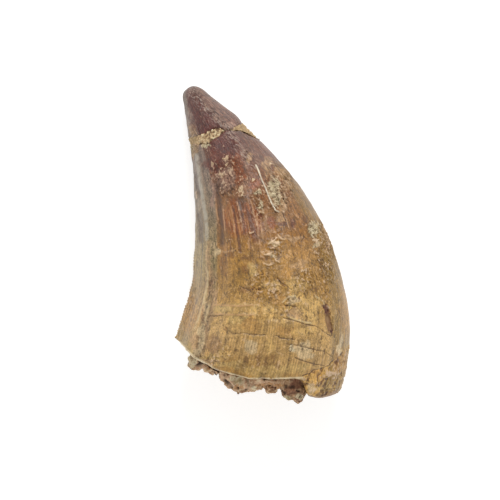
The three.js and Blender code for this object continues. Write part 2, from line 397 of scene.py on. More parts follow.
MID_RIDGE = np.array([
    (-13.2, 28.2), (-12.6, 26.8), (-11.3, 25.5), (-10.0, 24.0), (-8.8, 22.8), (-7.8, 21.6),
    (-6.5, 20.6), (-5.2, 18.4), (-4.3, 16.9), (-2.8, 15.1), (-1.4, 13.8),
])
CEMENT_EDGE = np.array([(5.8, -24.6), (6.8, -23.4), (8.6, -22.6), (11.7, -21.7), (12.8, -20.6),
                        (16.0, -17.5)])


def stroke_distance(co, name):
    """Distance from each point to the nearest line of a kind; sharp kinds keep to their line."""
    moved = co if name in ("ledge", "lip") else frayed(co, 0.35 if name == "gouge" else 0.1, 0.8)
    return np.min([line_distance(moved, line) for line in STROKES[name]], axis=0)


print(sum(len(lines) for lines in STROKES.values()), "lines")

# %% Ovals
MARKS = {
    "rough": [(-6.4, 12, 3, 3.8), (2.6, 9.6, 2.6, 4.4), (-0.7, 7.2, 1.4, 2.6), (11.2, -2, 1.7, 8),
        (7.4, -6.6, 2, 2.3), (0.6, -7.6, 3, 3.2), (4.6, -10.4, 1.8, 1.4), (-6.6, -19.3, 1.3, 1),
        (-12.9, 18, 0.9, 2.6), (-9.2, -20.4, 2.2, 0.9), (11.6, -27.2, 2.4, 0.7), (-3, 15.6, 0.8, 1.8),
        (8.8, 2.4, 1.2, 1.4)],
    "maroon": [(-6.9, 17.9, 3.9, 2), (-8.4, 14.6, 1.8, 1.8), (-11.6, 22.5, 1.8, 2.8),
        (-12.2, 25, 1.4, 2.4), (5.3, 3.4, 0.9, 1), (3.2, 3.6, 0.6, 0.5), (-0.4, 5.1, 0.3, 0.4),
        (-10.2, 22.6, 1.6, 1.8)],
    "red": [(-4.6, 14, 1, 2.2), (-1.6, 10.8, 1, 1), (-4.4, 4.8, 2.8, 3.4), (-1.6, 3.6, 1.5, 3),
        (-4, 11.6, 0.8, 1.2), (1.4, 3.8, 0.8, 1.3)],
    "orange": [(-1.4, -8.7, 1.2, 0.8), (8.2, -1.8, 1.2, 0.8), (6.6, -1.8, 2.7, 1.6),
        (-2.2, -14.4, 2, 1.3), (13.8, -21.2, 1.4, 2.2), (9.6, -22.9, 1.4, 0.8),
        (-13.4, -12.6, 1.3, 4.2), (14.8, -11.5, 1.2, 5), (4.6, -5.2, 1.3, 2), (4.5, -15.4, 2.4, 1),
        (2.2, -9.6, 1.7, 0.9), (-1.2, -0.4, 1.2, 1)],
    "yellow": [(8.3, -11.2, 2.4, 2), (8.6, -13.4, 1.4, 0.6), (-1.9, -11.8, 0.9, 0.9),
        (-6.6, -19.3, 1.2, 0.9), (0.9, -12, 1.5, 0.8), (1.4, -7.4, 1.5, 1), (6, -9.6, 1.6, 0.7),
        (7.4, -15.6, 2.2, 0.8), (2, -13.4, 2.4, 0.5), (6, -7.2, 2, 1.6), (1, -18, 1, 1.3),
        (4.6, -10.8, 1.2, 0.8)],
    "olive": [(-4.6, -13.3, 1.6, 0.6), (-9.4, -20.4, 2, 0.9), (-1.9, -4.4, 1.1, 1.1),
        (0.5, -22.6, 5, 1.2), (6.4, -22, 2.2, 0.9), (10.6, -25.4, 1.6, 1), (-7.2, -11.7, 1.8, 0.9),
        (-6.3, -21.7, 2.8, 0.6)],
    "mauve": [(-6.5, 11.6, 2.2, 2.4), (-2.8, 14.6, 0.9, 1.2), (-8.4, 22.7, 0.8, 1),
        (-6.6, 21.1, 0.8, 0.6), (-3.6, 16.8, 0.8, 1.4), (-9, 9, 0.4, 3)],
    "pink": [(3.8, 6.3, 0.8, 0.7), (-8.9, -9.4, 0.7, 4), (-10.4, -13.6, 0.8, 3.6),
        (-11.6, -17.8, 1.3, 2.2), (5.9, -12.3, 1.5, 0.8), (-9.7, -4, 0.4, 4.5), (0.7, 14.4, 0.7, 1.6),
        (-12.4, -6.6, 0.4, 1.6), (11.5, 1.4, 0.7, 2.4), (11.6, -27.2, 2.2, 0.6)],
    "pale": [(-2, -18.2, 1, 1.3), (-8.1, -1.6, 0.7, 0.7), (7.4, -17.6, 0.9, 0.5),
        (-11.1, -16.6, 0.6, 3), (-10.1, -12.4, 0.5, 2.4), (-11.8, -19.3, 1, 0.7), (6.6, -18.9, 2, 0.9),
        (5.2, -10.2, 1.3, 0.8), (13.7, -18.2, 0.6, 1.8), (2.2, -0.1, 1, 0.5), (1.6, -1.9, 0.9, 0.4),
        (7.6, -19.9, 1.8, 0.6), (8.5, -25.9, 0.7, 1.2), (9.5, -0.1, 0.4, 0.6)],
    "dark": [(-2.9, -2.5, 1.1, 0.6), (-7, -4.2, 0.8, 1.8), (-3.2, -4.6, 0.8, 0.9), (-6.1, -2, 1.3, 0.5),
        (0.4, -2.5, 1.4, 0.5), (10.6, -26.8, 0.9, 0.35), (12.6, -26.6, 0.9, 0.35),
        (-7.5, -3.4, 0.35, 0.3), (-9.3, -7.1, 0.5, 0.7), (-8.8, -17.8, 1.5, 1.7),
        (-10.2, -18.6, 0.5, 0.5), (-5, -19, 0.3, 0.3), (2.9, -6.4, 0.4, 0.35), (3.8, -7.4, 0.4, 0.3),
        (9.3, -8.2, 0.5, 0.3), (2.6, -21.6, 0.5, 0.7), (7.4, 4.2, 0.5, 1), (-3.4, -8.2, 1.3, 0.5),
        (-6.5, -15.3, 0.3, 0.4), (-0.8, -20.6, 0.4, 1.2), (0.5, -21, 0.35, 1.4), (1.7, -20.3, 0.35, 1),
        (-3, -20.6, 0.5, 0.8), (9.9, -25.2, 0.7, 0.6)],
    "grit": [(1.9, 9.9, 1.2, 2), (2.6, 7.6, 0.8, 1), (-0.4, 6.8, 0.4, 1), (-0.9, 9, 0.7, 0.4),
        (8.9, 2.6, 1, 1.3), (-12.9, 17.6, 0.6, 1.6), (-10.4, 17.7, 0.6, 0.7), (5, -18.5, 0.5, 0.4)],
    "chip": [(-6.7, 15.2, 0.35, 0.4), (-6.6, 14.1, 0.25, 0.25), (-7.4, 12.3, 0.35, 0.3),
        (-4.1, 9.6, 0.5, 0.5), (-3.6, 8.8, 0.2, 0.5), (1.4, 14.3, 0.5, 0.2), (-1.9, 11.4, 0.3, 0.2),
        (-0.9, 9.4, 0.4, 0.15), (-1.4, -5.8, 0.5, 0.15), (7.4, -4.8, 0.35, 0.25), (9.3, 0.6, 0.4, 0.4),
        (-3.9, 11.9, 0.3, 0.15), (-9.2, 14.4, 0.2, 0.4), (11.5, -11.4, 0.3, 0.3),
        (-5.4, 13.4, 0.2, 0.2), (-6.3, 0.6, 0.2, 0.3)],
    "ripple": [(1.9, -0.8, 1.6, 2.4), (5.6, 0.9, 1.8, 0.5), (2.6, 1.8, 0.8, 1.2)],
    "tan": [(-10.5, -13.9, 0.6, 1.8), (-11.6, -19.8, 1.2, 0.6), (-5.6, -1.2, 1.8, 0.25),
        (-12.6, 17.3, 0.9, 2.4), (5.2, 0.8, 1.9, 0.5), (3.3, 5, 0.8, 2), (1.4, -7.5, 1.4, 1),
        (-10.4, -21, 2.2, 0.5), (3.5, 8.2, 0.9, 2), (6.2, -3.6, 1.6, 0.6), (2.9, 12.4, 1.2, 1.4),
        (4.2, 10.4, 0.8, 1.2), (-2.4, 15, 0.6, 1), (1.1, 12.6, 0.7, 0.9), (-12.7, 20.6, 0.9, 1.2)],
    "stria": [(-3.6, 3.8, 4.4, 5), (-4.6, -0.4, 2.6, 1)],
    "comb": [(0.8, -21.4, 8.8, 2.8), (9.6, -20.2, 2.4, 1.2), (-1, -17.6, 8, 1.6), (2, -14.6, 6, 1.4)],
}
print(sum(len(marks) for marks in MARKS.values()), "ovals")

# %% Where each mark lies on the skin


def marks_on(co, place):
    """A dict of how much of each mark every point has, 0 to 1, with natural outlines."""
    upper = smooth(place["above"] + 0.8 * swell(co, 1.5, 50), 0.0, 1.6)
    upper *= 1 - smooth(place["depth"], 0.4, 1.0)
    loose, tight, shards = frayed(co, 0.8, 2.2), frayed(co, 0.25, 0.9), frayed(co, 0.55, 0.7)
    found = {}
    for name, marks in MARKS.items():
        small = name in ("grit", "chip", "dark")
        found[name] = upper * smooth(ovals(shards if small else loose, marks), 0.3, 0.75)
    beneath = smooth(-place["above"], 0.0, 2.0)
    found["rough"] += beneath * 0.8 * smooth(swell(co, 6.0, 40), 0.0, 0.3)
    found["comb"] += beneath * 0.5
    found["grit"] += beneath * smooth(swell(co, 3.0, 60), 0.42, 0.5)
    found["dark"] += beneath * smooth(swell(co, 4.0, 70), 0.35, 0.6)
    height = np.interp(co[:, 0], CEMENT_EDGE[:, 0], CEMENT_EDGE[:, 1]) - tight[:, 1]
    found["cement"] = smooth(height, -0.2, 0.4) * smooth(co[:, 0], 5.4, 6.4)
    share = place["length"] / MIDDLE_LENGTH[-1]
    across = place["across"] + 0.035 * swell(growth(place) * (1, 1, 0.2), 2.4, 8)
    found["flank"] = smooth(-across, 0.63, 0.68)
    middle_part = smooth(share, 0.36, 0.48) * (1 - smooth(share, 0.72, 0.8))
    found["groove"] = 0.5 * bell(across, -0.58, 0.05) * middle_part * upper
    found["band"] = smooth(across, 0.68, 0.85) * (1 - smooth(share, 0.66, 0.76))
    ridge_x = np.interp(co[:, 1], MID_RIDGE[::-1, 1], MID_RIDGE[::-1, 0])
    found["far_plane"] = smooth(loose[:, 0] - ridge_x, -0.3, 0.6) * smooth(co[:, 1], 12.0, 15.0)
    keel_band = smooth(-across, 0.9, 0.96) * smooth(-co[:, 1], 6.0, 9.0)
    found["ridge"] = upper * bell(line_distance(tight, MID_RIDGE), 0, 0.75)
    dull = np.maximum(keel_band * 0.7, 0.5 * found["ridge"])
    dull = np.maximum(dull, 0.8 * upper * bell(stroke_distance(co, "gouge"), 0, 0.6))
    found["rough"] = np.maximum(found["rough"], dull)
    return found


# %% [markdown]
# ## Carving the enamel
#
# The same relief runs over the crown and its glued tip, so one function gives the
# height of the skin anywhere. It adds up soft swellings, long ribs, the serrated
# keel of the carina, pits where the enamel has weathered, and each named mark.
# The finest part of it is returned as well, because the colours paint shade into
# its hollows and a highlight onto its crests, and need to know which is which.

# %% The relief of the crown
DENTICLE = 0.55  # length of one tooth of the serrated edge
RIDGES = [("crack", -0.1, 0.1), ("shade", -0.1, 0.3), ("gold", 0.06, 0.12), ("fold", 0.15, 0.14),
          ("gouge", -0.3, 0.28)]  # line, its height and its width in mm
SWELLINGS = [("ledge", 0.16, 0.2), ("spall_and_highlight", 0.1, 0.3), ("lip", 0.12, 0.3), ("shoulder", 0.1, 0.4)]
LAYERING = np.array([(0.2, 0.4, 0), (-0.4, 0.9, 0), (0, 0, 0.3)])  # long across the root, thin along it


def enamel_relief(co, place, marks):
    """Height in mm that the carving adds to the tooth's skin, and the finest part of it."""
    whole = 1 - smooth(place["length"] / MIDDLE_LENGTH[-1], 0.96, 0.99)
    skin = whole * (1 - smooth(place["depth"], 0.3, 0.8))
    face = skin * (place["above"] > 0)
    ribs = growth(place) * (1, 1, 0.07)
    rough = marks["rough"]
    height = 0.11 * swell(co, 7.0) + 0.05 * swell(co, 2.6, 5.0) + 0.25 * (1 - whole)
    height += 0.25 * marks["band"] * bell(co[:, 1], 2.0, 6.0)
    height += 0.2 * bell(co[:, 0], -4.9, 1.7) * bell(co[:, 1], 22.9, 1.7) * (co[:, 2] > 2)
    height += skin * (0.04 * swell(ribs, 1.7) + 0.04 * swell(ribs, 0.8, 3.0))
    height += skin * marks["band"] * 0.07 * swell(co * (1, 0.5, 1), 1.1, 6)
    pits = smooth(-cells(frayed(co, 0.25, 0.7), 0.9), -0.3, -0.1) * smooth(swell(co, 2.5, 9), -0.2, 0.3)
    chipped = 0.18 * swell(co, 0.42, 2.0) - 0.2 * np.abs(swell(co, 0.65, 5.0))
    chipped += 0.1 * swell(co, 1.1, 1.0)
    fine = rough * (chipped + 0.06) - 0.09 * pits * (0.2 + rough)
    fine += 0.02 * swell(co, 0.6, 7.0) + 0.05 * (marks["stria"] + marks["comb"]) * swell(ribs, 0.5, 4.0)
    fine += marks["ripple"] * 0.16 * swell(frayed(co, 0.3) * (0.6, 1.3, 1), 0.7, 2)
    fine += marks["grit"] * (0.06 + 0.22 * swell(co, 0.5, 8.0) - 0.2 * np.abs(swell(co, 0.7, 3.0)))
    fine += marks["chip"] * (0.12 + 0.1 * swell(co, 0.5, 4.0))
    canals = smooth(swell(frayed(co, 0.3) * (1, 0.7, 1), 0.9, 6.0), 0.2, 0.55)
    layers = swell(frayed(co, 0.3) @ LAYERING, 0.7, 5.0)
    lumpy = 0.16 * swell(co, 2.2, 9.0) + 0.2 * swell(co, 0.45, 3.0) + 0.16 * layers
    fine += marks["cement"] * (lumpy - 0.16 * canals)
    fine += marks["yellow"] * 0.2 * (0.5 - cells(frayed(co, 0.3), 1.5, 5.0))
    for name, high, wide in RIDGES:
        fine += face * high * bell(stroke_distance(co, name), 0, wide)
    for name, high, wide in SWELLINGS:
        height += face * high * bell(stroke_distance(co, name), 0, wide)
    height += face * 0.4 * np.clip(1 - line_distance(co, MID_RIDGE) / 2.4, 0, 1)
    wander = frayed(co, 0.1, 0.8)
    for y, high in ((-10.9, 0.06), (-12.6, 0.08)):
        near = smooth(wander[:, 0], -9.2, -8.2) * (1 - smooth(wander[:, 0], -1.5, -0.8))
        height += face * near * high * bell(wander[:, 1], y, 0.15)
    keel = skin * smooth(-place["across"], 0.975, 0.998)
    saw = np.abs((place["length"] / DENTICLE) % 1 - 0.5) * 2
    low_edge = smooth(-co[:, 1], -8.0, 6.0)
    height += keel * (0.04 + 0.22 * saw * low_edge + 0.12 * swell(ribs * (1, 1, 12), 1.4))
    return height + skin * fine, skin * fine


# %% [markdown]
# ## The break
#
# The frame leaves a clear slit on either side of the glue, because its solids may
# not touch. On the real tooth the faces meet, so both edges are drawn together
# over the slit, and in the middle of the break they close over the glue until only
# a hairline is left.

# %% Closing the break
BREAK_LOW = np.array([
    (-20, 16.2), (-13.3, 17.1), (-11.2, 17.8), (-9.65, 18), (-8.2, 19.1), (-6.95, 19.85),
    (-5.6, 20.2), (-4.5, 20.25), (-3.4, 20), (-2, 19.3), (4, 16.3)])
BREAK_HIGH = np.array([
    (-20, 19.8), (-13.6, 19.3), (-10.7, 19.5), (-8.6, 20.6), (-7, 20.5), (-5.6, 20.65),
    (-3.9, 21.9), (2, 26)])
SLIT = 0.3  # mm that the frame keeps clear on either side of the glue
OVERLAP = 0.05  # mm by which a face that was drawn over runs past the slit
HAIR = 0.03  # what stays open of the slit to the right of its middle


def hairline(co):
    """1 in the middle of the break, where crown and tip all but meet."""
    return smooth(co[:, 0], -7.6, -6.9) * (1 - smooth(co[:, 0], -5.9, -5.2)) * (co[:, 2] > 5)


def draw_together(piece, line, side):
    """Moves the points near a face of the break across the slit; side is 1 upwards."""
    co = coordinates(piece.data)
    edge = np.interp(co[:, 0], line[:, 0], line[:, 1]) - side * SLIT
    near = 1 - smooth(side * (edge - co[:, 1]), 0.0, 1.6)
    left_open = (HAIR + OVERLAP) * smooth(co[:, 0], -7.6, -7.2) * (side > 0)
    more = 0.15 * hairline(co) + 0.45 * smooth(-co[:, 0], 11.3, 12.2)
    more += 0.3 * smooth(co[:, 0], -5.6, -4.8) * (side < 0)
    more += 0.35 * smooth(co[:, 0], -4.8, -3.6) * (side > 0)
    step = side * near * (SLIT + OVERLAP - left_open + more)
    lean = np.interp(co[:, 0], (-13.5, -2.0), (-0.13, -0.95))  # the way the tooth grows here
    co[:, 0] += lean * step
    co[:, 1] += step
    place_vertices(piece.data, co)


# %% Crown and tip
COARSE = 0.46  # width of the net's faces, in mm


def on_show(co):
    """Points of the outer skin on the upper side."""
    place = tooth_place(co)
    return (place["depth"] < 0.9) & (place["above"] > -1.0)


def by_an_edge(co):
    """Points in the weathered zones, and by the carina, the ledges and the cracks."""
    place = tooth_place(co)
    close = (place["across"] < -0.985) & (place["depth"] < 0.5) & (co[:, 1] < 0)
    face = (place["above"] > 0) & (place["depth"] < 0.8)
    for name in ("rough", "ripple", "grit", "chip"):
        close |= face & (ovals(co, MARKS[name]) > 0.45)
    for name in ("ledge", "gouge", "lip", "crack", "fold"):
        close |= face & (stroke_distance(co, name) < 0.25)
    return close


crown = fine_copy("crown", "fossil_crown", COARSE)
tip = fine_copy("crown_tip", "fossil_tip", COARSE * 0.75)
maps = {}
for piece, line, side in ((crown, BREAK_LOW, 1), (tip, BREAK_HIGH, -1)):
    relax(piece, 2)
    relax(piece, 12, creases(piece.data))
    draw_together(piece, line, side)
    refine(piece, on_show)
    relax(piece, 8, creases(piece.data))
    refine(piece, by_an_edge)
    relax(piece, 2, creases(piece.data))
    co = coordinates(piece.data)
    place = tooth_place(co)
    marks = marks_on(co, place)
    height, fine = enamel_relief(co, place, marks)
    carve(piece, height)
    maps[piece.name] = (co, place, marks, fine)
    measure(piece)

# %% [markdown]
# ## The glue and the base
#
# The glue is sand in resin: a wafer whose rim is as rough as sandpaper, so its
# grains are carved one by one. The base is another matter. Root bone is full of
# small canals, and it broke into lumps that the phosphate sand cemented again, so
# it gets lumps of three sizes with creases between them, and open pores.

# %% Glue
filler = fine_copy("break_filler", "sand_glue", COARSE * 0.32)
relax(filler, 3)
co = coordinates(filler.data)
smeared = (co[:, 2] > 5) * (smooth(co[:, 0], -6.5, -5.5) + smooth(-co[:, 0], 11.4, 12.2))
gritty = 1 - 0.75 * smeared
grain = 0.6 * swell(co, 0.36) - 0.7 * np.abs(swell(co, 0.6, 4.0)) + 0.3 * swell(co, 1.4, 7.0) + 0.15
grain = gritty * grain
ends = (smooth(co[:, 0], -5.6, -4.6) + smooth(-co[:, 0], 11.5, 12.3)) * (co[:, 2] > 3)
rise = 0.08 + 0.42 * grain - 0.4 * hairline(co) - 0.25 * ends
rim = 1 - smooth(tooth_place(co)["depth"], 0.2, 0.6)
carve(filler, rim * rise)
maps[filler.name] = (co, grain, ends)
measure(filler)

# %% Base
BASE_MARKS = {
    "cream": [(-12.7, -20.9, 0.7, 1.3), (-4, -24.9, 0.5, 0.3), (-1.7, -25.7, 0.6, 0.3),
        (4.2, -27.4, 0.7, 0.4), (6.4, -27.3, 0.6, 0.5), (-10.2, -21.6, 1, 0.4), (-5, -24.3, 1.2, 0.25)],
    "pink": [(-10.6, -21.9, 1.8, 0.9), (1, -24.9, 2.8, 0.45), (-7.6, -24, 2, 1.2),
        (-5.6, -25.4, 1.6, 0.9), (-2.9, -25.4, 1.2, 0.8)],
    "red": [(5.8, -25.1, 1.2, 0.7), (4.8, -26.3, 1.3, 0.6), (6.8, -27.6, 1, 0.7)],
    "olive": [(-4.6, -24.7, 0.8, 0.3), (4.6, -27.6, 0.6, 0.4)],
    "rust": [(-4.5, -25.6, 0.9, 0.45), (1.2, -25.5, 2.6, 0.3), (-9.2, -22.4, 0.9, 0.3)],
    # holes, carved in and painted with their shadow
    "hole": [(-11.6, -21.6, 0.35, 0.3), (-8.3, -23.7, 0.25, 0.25), (3, -26.1, 0.4, 0.3)],
    "pitted": [(5.2, -27, 2.4, 1.3)],
}
matrix = fine_copy("base_matrix", "base_matrix_crumbs", COARSE * 0.5)
relax(matrix, 4)
co = coordinates(matrix.data)
below_lip = np.interp(co[:, 0], *LIP.T) - co[:, 1]
under = (1 - smooth(below_lip, 0.2, 1.8)) * smooth(co[:, 2], 6.0, 10.0)
lumps = 0.5 * (0.4 - cells(frayed(co, 0.5), 2.1)) + 0.35 * (0.4 - cells(frayed(co, 0.2), 0.95, 3.0))
along_lip = np.column_stack([co[:, 0] * 0.2, below_lip, co[:, 2] * 0.3])
sheets = (1 - smooth(below_lip, 1.5, 3.0)) * swell(along_lip, 0.55, 2.0)
wall = smooth(ovals(co, [(-12.7, -20.9, 0.7, 1.3)]), 0.3, 0.6) * (co[:, 2] > 7)
pores = smooth(-cells(frayed(co, 0.3), 1.7, 7.0), -0.3, -0.12) * (1 - wall)
crumbs = lumps + 0.3 * swell(co, 0.6) + 0.12 * swell(co, 0.3, 4.0) + 0.35 * sheets - 0.5 * pores
crumbs += 0.3 * wall
hollows = smooth(ovals(co, BASE_MARKS["hole"]), 0.4, 0.7) * (co[:, 2] > 8)
crumbs -= 0.8 * hollows
vesicles = smooth(-cells(frayed(co, 0.2), 0.9, 5.0), -0.42, -0.18)
crumbs -= 0.6 * vesicles * smooth(ovals(frayed(co, 0.3, 0.9), BASE_MARKS["pitted"]), 0.3, 0.6)
exposed = smooth(-co[:, 1], 14.0, 17.0)
carve(matrix, exposed * crumbs)
drawn = coordinates(matrix.data)
slope = np.interp(co[:, 0] + 0.3, *LIP.T) - np.interp(co[:, 0] - 0.3, *LIP.T)
towards = np.column_stack([-slope / 0.6, np.ones(len(co))])
towards /= np.linalg.norm(towards, axis=1)[:, None]
drawn[:, :2] += 0.7 * under[:, None] * towards
drawn[:, 2] += 0.3 * under
drawn[:, 1] -= 0.4 * exposed * bell(co[:, 0], -9.4, 1.5)
place_vertices(matrix.data, drawn)
maps[matrix.name] = (co, crumbs)
measure(matrix)

# %% [markdown]
# ## Colour helpers
#
# Colours are picked as sRGB hex values and turned to the linear values that the
# shader works with. One function adds a node with its settings and its links, and
# another lays a new colour over what is there, as stains and dirt came.

# %% Helpers for materials


def linear(colour):
    """An sRGB hex colour as linear RGBA."""
    parts = [int(colour[i:i + 2], 16) / 255 for i in (1, 3, 5)]
    return [p / 12.92 if p <= 0.04045 else ((p + 0.055) / 1.055) ** 2.4 for p in parts] + [1.0]


def add(tree, kind, settings=None, inputs=None, stops=()):
    """Adds a shader node. An input is a value, or the output socket that feeds it."""
    node = tree.nodes.new("ShaderNode" + kind)
    for name, value in (settings or {}).items():
        setattr(node, name, value)
    for name, value in (inputs or {}).items():
        if isinstance(value, bpy.types.NodeSocket):
            tree.links.new(value, node.inputs[name])
        else:
            node.inputs[name].default_value = value
    for i, (at, colour) in enumerate(stops):
        ramp = node.color_ramp.elements
        stop = ramp[i] if i < 2 else ramp.new(at)
        stop.position = at
        stop.color = linear(colour)
    return node


def lay(tree, below, above, amount, low, high, cover=1.0, only=None, blend="MIX"):
    """Lays a colour over another, from none where amount is low to cover where it is high."""
    mask = add(tree, "MapRange", {}, {
        "Value": amount, "From Min": low, "From Max": high, "To Max": cover}).outputs["Result"]
    if only is not None:
        mask = add(tree, "Math", {"operation": "MULTIPLY"}, {0: mask, 1: only}).outputs["Value"]
    return add(tree, "MixRGB", {"blend_type": blend}, {
        "Fac": mask, "Color1": below, "Color2": above}).outputs["Color"]


def store(piece, name, values):
    """Keeps one number, or one vector, for each point of a piece."""
    kind = "FLOAT" if values.ndim == 1 else "FLOAT_VECTOR"
    layer = piece.data.attributes.new(name, kind, "POINT")
    layer.data.foreach_set("value" if values.ndim == 1 else "vector", values.ravel())


def new_material(name):
    """An empty material, with the place of a point on the piece to start from."""
    material = bpy.data.materials.new(name)
    material.use_nodes = True
    tree = material.node_tree
    tree.nodes.clear()
    return material, tree, add(tree, "TexCoord").outputs["Object"]


# %% [markdown]
# ## The map that colours read
#
# Dirt, stains and wear follow the growth and the marks, and the painted shade in the
# hollows and painted highlight on the crests follow the relief, not the room around
# the tooth. So each point keeps what the carving knew of it: how far along it lies,
# how deep, how high, and how near to each line and mark. A shader can then read
# these as numbers, and the colours stay on their marks however the tooth is turned.

# %% The map of each enamel piece
BAND_MIDDLE = (-4.9, -11.75)
BAND_REACH = (3.7, 0.8)
for piece in (crown, tip):
    co, place, marks, fine = maps[piece.name]
    upper = (place["above"] > 0) & (place["depth"] < 0.9)
    store(piece, "share", place["length"] / MIDDLE_LENGTH[-1])
    store(piece, "depth", place["depth"])
    store(piece, "growth", growth(place))
    store(piece, "relief", fine / 0.1)
    fading = 0.6 * (1 - smooth(place["above"], 0.0, 3.0))
    for name in STROKES:
        store(piece, name, np.where(upper, stroke_distance(co, name) + fading, 9.0))
    band = np.clip(np.abs(frayed(co, 0.2)[:, :2] - BAND_MIDDLE) - BAND_REACH, 0, 9)
    store(piece, "pale_band", np.where(upper, np.hypot(band[:, 0], band[:, 1]), 9.0))
    for name, amount in marks.items():
        store(piece, name, amount)
    print(piece.name, "keeps", len(piece.data.attributes), "values for each point")

# %% [markdown]
# ## Fossil enamel
#
# Enamel is clear and hard when new. In the ground it takes up iron and manganese
# and turns ochre, brown and maroon, darkest at the tip. It keeps a satin polish,
# which the eye reads from a soft, broad highlight. Colour is laid on as it came:
# a ramp from base to tip, the greyer flank of the carina, striae along the growth,
# then stains, crusts and cracks on top. A highlight is painted on the crests, along
# the carina's shoulders and along the middle ridge, and shade in the hollows.

# %% Enamel
RAMP = [(0.0, "#9e7533"), (0.1, "#b89258"), (0.2, "#b28c4e"), (0.3, "#9a7231"), (0.4, "#9b702e"),
        (0.48, "#8a5a14"), (0.56, "#855a2c"), (0.64, "#7c4d26"), (0.74, "#6a3820"), (0.82, "#5e281f"),
        (0.94, "#6a443a"), (1.0, "#6a4c40")]
FLANK = [(0.0, "#9c844f"), (0.2, "#a18156"), (0.4, "#947e52"), (0.55, "#847158"), (0.74, "#736054"),
         (0.84, "#8d7b6e"), (1.0, "#65554b")]
LAYERS = [  # mark, colour, how far it covers
    ("cement", "#c3964a", 0.85),
    ("far_plane", "#6c4d3c", 0.7),
    ("groove", "#6b4426", 0.8),
    ("band", "#7d6021", 0.6),
    ("olive", "#c0a264", 0.5),
    ("pink", "#a6835d", 0.65),
    ("mauve", "#9c7b69", 0.6),
    ("orange", "#ab7d3f", 0.5),
    ("tan", "#ac885f", 0.6),
    ("maroon", "#4e1402", 0.7),
    ("red", "#84400c", 0.7),
    ("yellow", "#c8a260", 0.7),
    ("pale", "#c8ae83", 0.8),
    ("dark", "#5e3512", 0.5),
]
LINES = [  # line, its width in mm, colour, how far it covers
    ("shade", 0.75, "#4c3320", 0.6),
    ("pale_band", 0.4, "#b3955c", 0.3),
    # painted highlight: a pale glossy streak along the carina's shoulder
    ("shoulder", 0.45, "#bdb5a4", 0.55),
    ("lip", 0.3, "#e6d2aa", 0.85),
    # pale along the spalls, and a painted highlight along the carina's lower shoulder
    ("spall_and_highlight", 0.2, "#d9c79a", 0.45),
    ("gold", 0.18, "#c8976a", 0.55),
    ("fold", 0.16, "#dab88c", 0.55),
    ("ledge", 0.16, "#efe2c8", 0.9),
    ("gouge", 0.5, "#5a2416", 0.85),
    ("crack", 0.12, "#3f2a19", 0.7),
]
TEXTURES = {  # size in mm, detail, distortion, the way it runs
    "blotch": (5.0, 3.0, 0.0, "even"),
    "mottle": (1.5, 5.0, 0.6, "even"),
    "speck": (0.4, 3.0, 1.2, "drawn"),
    "dust": (0.2, 2.0, 0.8, "even"),  # real dust is finer, and is drawn coarser so that it shows
    "rib": (1.5, 2.0, 0.0, "growth"),
    "fibre": (0.45, 1.0, 0.0, "growth"),
    "streak": (0.3, 2.0, 0.0, "slant"),
}
COMB = 0.3  # mm on the drum from one fine growth line to the next
STRENGTHS = {  # how strong each shows, then a mark and how strong it shows there
    "blotch": (0.5, "flank", 0.5),
    "mottle": (1.2, "flank", 0.6),
    "speck": (2.1, "comb", 1.3),
    "dust": (1.9, "comb", 1.3),
    "rib": (0.3, "flank", 1.2),
    "fibre": (1.0, "flank", 1.2),
    "streak": (0.2, "far_plane", 1.8),
}
DARKEST = 0.3  # the least share of the colour that the mottling leaves
THREADS = [  # texture, where it lies, from and to which value it shows, colour, how far it covers
    ("fibre", "stria", 0.5, 0.6, "#5a3219", 0.8),
    ("fibre", "stria", 0.42, 0.34, "#c48e55", 0.5),
    ("waves", "comb", 0.4, 0.0, "#735630", 0.45),
]
FLAKES = [(0.38, "#a47b54"), (0.6, "#e2c8a0")]
CRUST = [(0.82, "#5c4630"), (0.94, "#9c8560"), (1.0, "#d6c8a2")]
DENTINE = [(0.0, "#7d5c3c"), (0.4, "#8f6a45"), (0.7, "#a08058"), (1.0, "#7d5c3c")]
MARK_NAMES = [*MARKS, "cement", "flank", "groove", "band", "far_plane", "ridge"]


